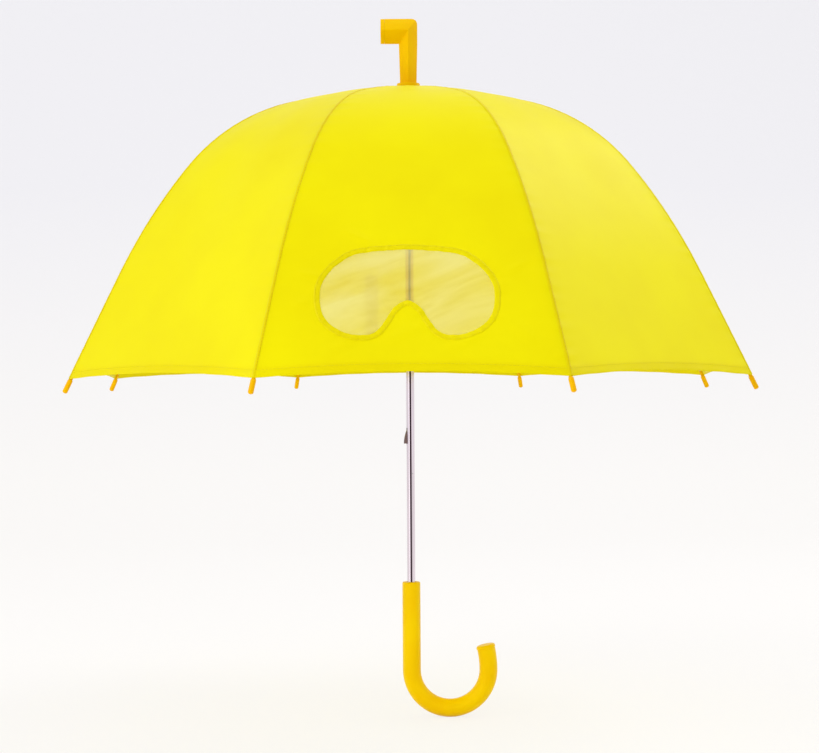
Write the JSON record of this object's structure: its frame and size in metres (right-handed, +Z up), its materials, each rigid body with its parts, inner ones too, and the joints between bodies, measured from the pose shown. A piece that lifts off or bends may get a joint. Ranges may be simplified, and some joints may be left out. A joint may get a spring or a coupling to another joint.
{
  "type": "children's umbrella",
  "caption": "Dome umbrella for a child with folding ribs and stretchers, a goggle-shaped clear window, a square periscope finial and a hook handle.",
  "frame": {"origin": "on the shaft's axis, at the middle of the handle's straight grip", "axes": "+Z up the shaft to the crown, -Y towards the window, +X towards the handle's hook, with the umbrella open"},
  "size_m": [0.6444, 0.6444, 0.6983],
  "materials": {
    "canopy_cloth": "satin",
    "binding_tape": "satin",
    "window_film": "gloss",
    "yellow_plastic": "gloss",
    "tip_plastic": "gloss",
    "shaft_chrome": "polished",
    "rib_steel": "satin",
    "catch_steel": "satin",
    "notch_nylon": "satin"
  },
  "bodies": {
    "shaft": {"shaft_tube": "shaft_chrome", "handle": "yellow_plastic", "handle_end_plug": "yellow_plastic", "periscope_body": "yellow_plastic", "periscope_bezel": "yellow_plastic", "crown_flange": "yellow_plastic", "top_notch": "notch_nylon", "notch_pins": "rib_steel", "notch_rivet": "rib_steel", "runner_stop": "rib_steel", "catch_pins": "rib_steel"},
    "rib_1": {"rib_1": "rib_steel", "rib_joint_1": "rib_steel", "rib_tip_1": "tip_plastic"},
    "rib_2": {"rib_2": "rib_steel", "rib_joint_2": "rib_steel", "rib_tip_2": "tip_plastic"},
    "rib_3": {"rib_3": "rib_steel", "rib_joint_3": "rib_steel", "rib_tip_3": "tip_plastic"},
    "rib_4": {"rib_4": "rib_steel", "rib_joint_4": "rib_steel", "rib_tip_4": "tip_plastic"},
    "rib_5": {"rib_5": "rib_steel", "rib_joint_5": "rib_steel", "rib_tip_5": "tip_plastic"},
    "rib_6": {"rib_6": "rib_steel", "rib_joint_6": "rib_steel", "rib_tip_6": "tip_plastic"},
    "rib_7": {"rib_7": "rib_steel", "rib_joint_7": "rib_steel", "rib_tip_7": "tip_plastic"},
    "rib_8": {"rib_8": "rib_steel", "rib_joint_8": "rib_steel", "rib_tip_8": "tip_plastic"},
    "stretcher_1": {"stretcher_1": "rib_steel"},
    "stretcher_2": {"stretcher_2": "rib_steel"},
    "stretcher_3": {"stretcher_3": "rib_steel"},
    "stretcher_4": {"stretcher_4": "rib_steel"},
    "stretcher_5": {"stretcher_5": "rib_steel"},
    "stretcher_6": {"stretcher_6": "rib_steel"},
    "stretcher_7": {"stretcher_7": "rib_steel"},
    "stretcher_8": {"stretcher_8": "rib_steel"},
    "runner": {"runner": "yellow_plastic", "runner_pins": "rib_steel"},
    "panel_1": {"panel_1": "canopy_cloth"},
    "panel_2": {"panel_2": "canopy_cloth", "tie_strap": "canopy_cloth", "strap_snap": "yellow_plastic"},
    "panel_3": {"panel_3": "canopy_cloth"},
    "panel_4": {"panel_4": "canopy_cloth"},
    "panel_5": {"panel_5": "canopy_cloth"},
    "panel_6": {"panel_6": "canopy_cloth", "window_film": "window_film", "window_binding": "binding_tape"},
    "panel_7": {"panel_7": "canopy_cloth"},
    "panel_8": {"panel_8": "canopy_cloth"},
    "bottom_catch": {"bottom_catch": "catch_steel"},
    "top_catch": {"top_catch": "catch_steel"}
  },
  "joints": [
    {"name": "canopy_fold", "type": "hinge", "parent": "shaft", "child": "rib_1", "pos_m": [0.00831, 0.00344, 0.533], "axis": [-0.3827, 0.9239, 0], "range_deg": [0, 48.62], "deforming": ["panel_1", "panel_2", "tie_strap", "strap_snap", "panel_3", "panel_4", "panel_5", "panel_6", "window_film", "window_binding", "panel_7", "panel_8", "bottom_catch", "top_catch"]},
    {"name": "rib_2_fold", "type": "hinge", "parent": "shaft", "child": "rib_2", "pos_m": [0.00344, 0.00831, 0.533], "axis": [-0.9239, 0.3827, 0], "range_deg": [0, 48.62]},
    {"name": "rib_3_fold", "type": "hinge", "parent": "shaft", "child": "rib_3", "pos_m": [-0.00344, 0.00831, 0.533], "axis": [-0.9239, -0.3827, 0], "range_deg": [0, 48.62]},
    {"name": "rib_4_fold", "type": "hinge", "parent": "shaft", "child": "rib_4", "pos_m": [-0.00831, 0.00344, 0.533], "axis": [-0.3827, -0.9239, 0], "range_deg": [0, 48.62]},
    {"name": "rib_5_fold", "type": "hinge", "parent": "shaft", "child": "rib_5", "pos_m": [-0.00831, -0.00344, 0.533], "axis": [0.3827, -0.9239, 0], "range_deg": [0, 48.62]},
    {"name": "rib_6_fold", "type": "hinge", "parent": "shaft", "child": "rib_6", "pos_m": [-0.00344, -0.00831, 0.533], "axis": [0.9239, -0.3827, 0], "range_deg": [0, 48.62]},
    {"name": "rib_7_fold", "type": "hinge", "parent": "shaft", "child": "rib_7", "pos_m": [0.00344, -0.00831, 0.533], "axis": [0.9239, 0.3827, 0], "range_deg": [0, 48.62]},
    {"name": "rib_8_fold", "type": "hinge", "parent": "shaft", "child": "rib_8", "pos_m": [0.00831, -0.00344, 0.533], "axis": [0.3827, 0.9239, 0], "range_deg": [0, 48.62]},
    {"name": "stretcher_1_pivot", "type": "hinge", "parent": "rib_1", "child": "stretcher_1", "pos_m": [0.15989, 0.06623, 0.48824], "axis": [-0.3827, 0.9239, 0], "range_deg": [-97.27, 0]},
    {"name": "stretcher_2_pivot", "type": "hinge", "parent": "rib_2", "child": "stretcher_2", "pos_m": [0.06623, 0.15989, 0.48824], "axis": [-0.9239, 0.3827, 0], "range_deg": [-97.27, 0]},
    {"name": "stretcher_3_pivot", "type": "hinge", "parent": "rib_3", "child": "stretcher_3", "pos_m": [-0.06623, 0.15989, 0.48824], "axis": [-0.9239, -0.3827, 0], "range_deg": [-97.27, 0]},
    {"name": "stretcher_4_pivot", "type": "hinge", "parent": "rib_4", "child": "stretcher_4", "pos_m": [-0.15989, 0.06623, 0.48824], "axis": [-0.3827, -0.9239, 0], "range_deg": [-97.27, 0]},
    {"name": "stretcher_5_pivot", "type": "hinge", "parent": "rib_5", "child": "stretcher_5", "pos_m": [-0.15989, -0.06623, 0.48824], "axis": [0.3827, -0.9239, 0], "range_deg": [-97.27, 0]},
    {"name": "stretcher_6_pivot", "type": "hinge", "parent": "rib_6", "child": "stretcher_6", "pos_m": [-0.06623, -0.15989, 0.48824], "axis": [0.9239, -0.3827, 0], "range_deg": [-97.27, 0]},
    {"name": "stretcher_7_pivot", "type": "hinge", "parent": "rib_7", "child": "stretcher_7", "pos_m": [0.06623, -0.15989, 0.48824], "axis": [0.9239, 0.3827, 0], "range_deg": [-97.27, 0]},
    {"name": "stretcher_8_pivot", "type": "hinge", "parent": "rib_8", "child": "stretcher_8", "pos_m": [0.15989, -0.06623, 0.48824], "axis": [0.3827, 0.9239, 0], "range_deg": [-97.27, 0]},
    {"name": "runner_pivot", "type": "hinge", "parent": "stretcher_1", "child": "runner", "pos_m": [0.00831, 0.00344, 0.44348], "axis": [-0.3827, 0.9239, 0], "range_deg": [0, 48.64]},
    {"name": "panel_1_gather", "type": "hinge", "parent": "rib_1", "child": "panel_1", "pos_m": [0.00689, 0.00689, 0.533], "axis": [-0.6526, -0.6526, -0.3852], "range_deg": [0, 36.28]},
    {"name": "panel_2_gather", "type": "hinge", "parent": "rib_2", "child": "panel_2", "pos_m": [0, 0.00974, 0.533], "axis": [0, -0.9228, -0.3852], "range_deg": [0, 36.28]},
    {"name": "panel_3_gather", "type": "hinge", "parent": "rib_3", "child": "panel_3", "pos_m": [-0.00689, 0.00689, 0.533], "axis": [0.6526, -0.6526, -0.3852], "range_deg": [0, 36.28]},
    {"name": "panel_4_gather", "type": "hinge", "parent": "rib_4", "child": "panel_4", "pos_m": [-0.00974, 0, 0.533], "axis": [0.9228, 0, -0.3852], "range_deg": [0, 36.28]},
    {"name": "panel_5_gather", "type": "hinge", "parent": "rib_5", "child": "panel_5", "pos_m": [-0.00689, -0.00689, 0.533], "axis": [0.6526, 0.6526, -0.3852], "range_deg": [0, 36.28]},
    {"name": "panel_6_gather", "type": "hinge", "parent": "rib_6", "child": "panel_6", "pos_m": [0, -0.00974, 0.533], "axis": [0, 0.9228, -0.3852], "range_deg": [0, 36.28]},
    {"name": "panel_7_gather", "type": "hinge", "parent": "rib_7", "child": "panel_7", "pos_m": [0.00689, -0.00689, 0.533], "axis": [-0.6526, 0.6526, -0.3852], "range_deg": [0, 36.28]},
    {"name": "panel_8_gather", "type": "hinge", "parent": "rib_8", "child": "panel_8", "pos_m": [0.00974, 0, 0.533], "axis": [-0.9228, 0, -0.3852], "range_deg": [0, 36.28]},
    {"name": "bottom_catch_press", "type": "hinge", "parent": "shaft", "child": "bottom_catch", "pos_m": [0, 0, 0.1523], "axis": [-0.4226, 0.9063, 0], "range_deg": [0, 6.2], "stiffness_Nm_per_rad": 1.6, "springref_deg": -3.44},
    {"name": "top_catch_press", "type": "hinge", "parent": "shaft", "child": "top_catch", "pos_m": [0, 0, 0.42188], "axis": [0.4226, -0.9063, 0], "range_deg": [0, 6.2], "stiffness_Nm_per_rad": 1.6, "springref_deg": -3.44}
  ],
  "couplings": [
    {"joint": "rib_2_fold", "follows": "canopy_fold", "ratio": 1},
    {"joint": "rib_3_fold", "follows": "canopy_fold", "ratio": 1},
    {"joint": "rib_4_fold", "follows": "canopy_fold", "ratio": 1},
    {"joint": "rib_5_fold", "follows": "canopy_fold", "ratio": 1},
    {"joint": "rib_6_fold", "follows": "canopy_fold", "ratio": 1},
    {"joint": "rib_7_fold", "follows": "canopy_fold", "ratio": 1},
    {"joint": "rib_8_fold", "follows": "canopy_fold", "ratio": 1},
    {"joint": "stretcher_1_pivot", "follows": "canopy_fold", "ratio": -2},
    {"joint": "stretcher_2_pivot", "follows": "canopy_fold", "ratio": -2},
    {"joint": "stretcher_3_pivot", "follows": "canopy_fold", "ratio": -2},
    {"joint": "stretcher_4_pivot", "follows": "canopy_fold", "ratio": -2},
    {"joint": "stretcher_5_pivot", "follows": "canopy_fold", "ratio": -2},
    {"joint": "stretcher_6_pivot", "follows": "canopy_fold", "ratio": -2},
    {"joint": "stretcher_7_pivot", "follows": "canopy_fold", "ratio": -2},
    {"joint": "stretcher_8_pivot", "follows": "canopy_fold", "ratio": -2},
    {"joint": "runner_pivot", "follows": "canopy_fold", "ratio": 1},
    {"joint": "panel_1_gather", "follows": "canopy_fold", "ratio": 0.74571},
    {"joint": "panel_2_gather", "follows": "canopy_fold", "ratio": 0.74571},
    {"joint": "panel_3_gather", "follows": "canopy_fold", "ratio": 0.74571},
    {"joint": "panel_4_gather", "follows": "canopy_fold", "ratio": 0.74571},
    {"joint": "panel_5_gather", "follows": "canopy_fold", "ratio": 0.74571},
    {"joint": "panel_6_gather", "follows": "canopy_fold", "ratio": 0.74571},
    {"joint": "panel_7_gather", "follows": "canopy_fold", "ratio": 0.74571},
    {"joint": "panel_8_gather", "follows": "canopy_fold", "ratio": 0.74571}
  ]
}
